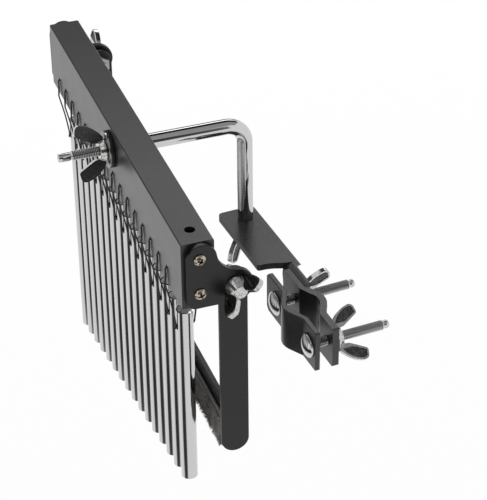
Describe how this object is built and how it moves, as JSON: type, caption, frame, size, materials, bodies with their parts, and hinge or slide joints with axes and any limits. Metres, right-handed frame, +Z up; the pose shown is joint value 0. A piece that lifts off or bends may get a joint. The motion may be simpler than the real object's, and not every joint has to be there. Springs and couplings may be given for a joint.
{
  "type": "chime bar",
  "caption": "Hollow bar with a row of graded hanging metal tubes, a pivoting pile damper, a bent rod arm and a two-bolt stand clamp bracket.",
  "frame": {"origin": "middle of the stand clamp seat, at the height of the clamp bolts", "axes": "+X along the bar towards its near end (the end with the shortest tube), +Y back from the bar towards the stand, +Z up along the stand tube"},
  "size_m": [0.298, 0.1596, 0.2192],
  "materials": {
    "black_bar": "satin black powder coat",
    "black_plate": "satin black powder coat",
    "black_bracket": "satin black powder coat, slightly grained",
    "tube_metal": "polished",
    "chrome": "bright chrome plate",
    "cast_chrome": "bright chrome plate over a cast surface",
    "nickel": "nickel plate",
    "washer_steel": "plated, with a darker face and a bright rim",
    "zinc": "zinc plate",
    "cord_black": "braided cord",
    "rubber": "matt",
    "felt_backing": "matt woven backing",
    "plush": "short pile",
    "block_plastic": "matt"
  },
  "bodies": {
    "bracket": {"bracket": "black_bracket", "clamp_washers": "chrome", "plate_rubber_washer": "rubber", "plate_washer": "chrome"},
    "front_jaw": {"front_jaw": "black_bracket", "clamp_bolt_left": "chrome", "clamp_bolt_right": "chrome"},
    "clamp_wing_nut_left": {"clamp_wing_nut_left": "cast_chrome"},
    "clamp_wing_nut_right": {"clamp_wing_nut_right": "cast_chrome"},
    "rod": {"l_rod": "chrome"},
    "plate_wing_nut": {"plate_wing_nut": "cast_chrome"},
    "bar": {"bar": "black_bar", "end_block_near": "block_plastic", "end_block_far": "block_plastic", "end_plate_near": "black_plate", "end_plate_far": "black_plate", "end_screws": "nickel", "suspension_cords": "cord_black", "pivot_spacers": "zinc", "pivot_hex_nuts": "zinc", "rubber_washer": "rubber", "wide_washer": "washer_steel"},
    "rod_wing_nut": {"rod_wing_nut": "cast_chrome"},
    "damper": {"damper_arm_near": "black_plate", "damper_arm_far": "black_plate", "damper_strip": "black_plate", "damper_backing": "felt_backing", "damper_fur": "plush"},
    "pivot_screw_near": {"pivot_screw_near": "cast_chrome"},
    "pivot_screw_far": {"pivot_screw_far": "cast_chrome"},
    "tube_01": {"tube_01": "tube_metal"},
    "tube_02": {"tube_02": "tube_metal"},
    "tube_03": {"tube_03": "tube_metal"},
    "tube_04": {"tube_04": "tube_metal"},
    "tube_05": {"tube_05": "tube_metal"},
    "tube_06": {"tube_06": "tube_metal"},
    "tube_07": {"tube_07": "tube_metal"},
    "tube_08": {"tube_08": "tube_metal"},
    "tube_09": {"tube_09": "tube_metal"},
    "tube_10": {"tube_10": "tube_metal"},
    "tube_11": {"tube_11": "tube_metal"},
    "tube_12": {"tube_12": "tube_metal"},
    "tube_13": {"tube_13": "tube_metal"},
    "tube_14": {"tube_14": "tube_metal"},
    "tube_15": {"tube_15": "tube_metal"},
    "tube_16": {"tube_16": "tube_metal"}
  },
  "joints": [
    {"name": "front_jaw_slide", "type": "slide", "parent": "bracket", "child": "front_jaw", "axis": [0.0698, -0.9976, 0], "range_m": [0, 0.006]},
    {"name": "clamp_nut_left_turn", "type": "hinge", "parent": "bracket", "child": "clamp_wing_nut_left", "pos_m": [-0.02259, 0.00764, 0], "axis": [-0.0698, 0.9976, 0], "continuous": true},
    {"name": "clamp_nut_right_turn", "type": "hinge", "parent": "bracket", "child": "clamp_wing_nut_right", "pos_m": [0.02131, 0.01071, 0], "axis": [-0.0698, 0.9976, 0], "continuous": true},
    {"name": "rod_swivel", "type": "hinge", "parent": "bracket", "child": "rod", "pos_m": [-0.09158, -0.00199, 0.0147], "axis": [0, 0, 1], "range_deg": [-90, 5]},
    {"name": "plate_nut_turn", "type": "hinge", "parent": "rod", "child": "plate_wing_nut", "pos_m": [-0.09158, -0.00199, 0.006], "axis": [0, 0, 1], "continuous": true},
    {"name": "bar_tilt", "type": "hinge", "parent": "rod", "child": "bar", "pos_m": [-0.09158, -0.06509, 0.0805], "axis": [0, 1, 0], "range_deg": [-45, 45]},
    {"name": "rod_nut_turn", "type": "hinge", "parent": "rod", "child": "rod_wing_nut", "pos_m": [-0.09158, -0.08659, 0.0805], "axis": [0, 1, 0], "continuous": true},
    {"name": "damper_swing", "type": "hinge", "parent": "bar", "child": "damper", "pos_m": [0.03842, -0.05429, 0.066], "axis": [1, 0, 0], "range_deg": [-3, 12]},
    {"name": "pivot_screw_near_turn", "type": "hinge", "parent": "bar", "child": "pivot_screw_near", "pos_m": [0.04192, -0.05429, 0.066], "axis": [1, 0, 0], "continuous": true},
    {"name": "pivot_screw_far_turn", "type": "hinge", "parent": "bar", "child": "pivot_screw_far", "pos_m": [-0.22508, -0.05429, 0.066], "axis": [1, 0, 0], "continuous": true},
    {"name": "tube_01_swing", "type": "hinge", "parent": "bar", "child": "tube_01", "pos_m": [0.01242, -0.07434, 0.0256], "axis": [0, 1, 0], "range_deg": [-1.27, 1.27]},
    {"name": "tube_02_swing", "type": "hinge", "parent": "bar", "child": "tube_02", "pos_m": [-0.00208, -0.07434, 0.0256], "axis": [0, 1, 0], "range_deg": [-1.24, 1.24]},
    {"name": "tube_03_swing", "type": "hinge", "parent": "bar", "child": "tube_03", "pos_m": [-0.01658, -0.07434, 0.0256], "axis": [0, 1, 0], "range_deg": [-1.21, 1.21]},
    {"name": "tube_04_swing", "type": "hinge", "parent": "bar", "child": "tube_04", "pos_m": [-0.03108, -0.07434, 0.0256], "axis": [0, 1, 0], "range_deg": [-1.18, 1.18]},
    {"name": "tube_05_swing", "type": "hinge", "parent": "bar", "child": "tube_05", "pos_m": [-0.04558, -0.07434, 0.0256], "axis": [0, 1, 0], "range_deg": [-1.15, 1.15]},
    {"name": "tube_06_swing", "type": "hinge", "parent": "bar", "child": "tube_06", "pos_m": [-0.06008, -0.07434, 0.0256], "axis": [0, 1, 0], "range_deg": [-1.13, 1.13]},
    {"name": "tube_07_swing", "type": "hinge", "parent": "bar", "child": "tube_07", "pos_m": [-0.07458, -0.07434, 0.0256], "axis": [0, 1, 0], "range_deg": [-1.1, 1.1]},
    {"name": "tube_08_swing", "type": "hinge", "parent": "bar", "child": "tube_08", "pos_m": [-0.08908, -0.07434, 0.0256], "axis": [0, 1, 0], "range_deg": [-1.08, 1.08]},
    {"name": "tube_09_swing", "type": "hinge", "parent": "bar", "child": "tube_09", "pos_m": [-0.10358, -0.07434, 0.0256], "axis": [0, 1, 0], "range_deg": [-1.06, 1.06]},
    {"name": "tube_10_swing", "type": "hinge", "parent": "bar", "child": "tube_10", "pos_m": [-0.11808, -0.07434, 0.0256], "axis": [0, 1, 0], "range_deg": [-1.04, 1.04]},
    {"name": "tube_11_swing", "type": "hinge", "parent": "bar", "child": "tube_11", "pos_m": [-0.13258, -0.07434, 0.0256], "axis": [0, 1, 0], "range_deg": [-1.02, 1.02]},
    {"name": "tube_12_swing", "type": "hinge", "parent": "bar", "child": "tube_12", "pos_m": [-0.14708, -0.07434, 0.0256], "axis": [0, 1, 0], "range_deg": [-1, 1]},
    {"name": "tube_13_swing", "type": "hinge", "parent": "bar", "child": "tube_13", "pos_m": [-0.16158, -0.07434, 0.0256], "axis": [0, 1, 0], "range_deg": [-0.98, 0.98]},
    {"name": "tube_14_swing", "type": "hinge", "parent": "bar", "child": "tube_14", "pos_m": [-0.17608, -0.07434, 0.0256], "axis": [0, 1, 0], "range_deg": [-0.96, 0.96]},
    {"name": "tube_15_swing", "type": "hinge", "parent": "bar", "child": "tube_15", "pos_m": [-0.19058, -0.07434, 0.0256], "axis": [0, 1, 0], "range_deg": [-0.94, 0.94]},
    {"name": "tube_16_swing", "type": "hinge", "parent": "bar", "child": "tube_16", "pos_m": [-0.20508, -0.07434, 0.0256], "axis": [0, 1, 0], "range_deg": [-0.92, 0.92]}
  ]
}
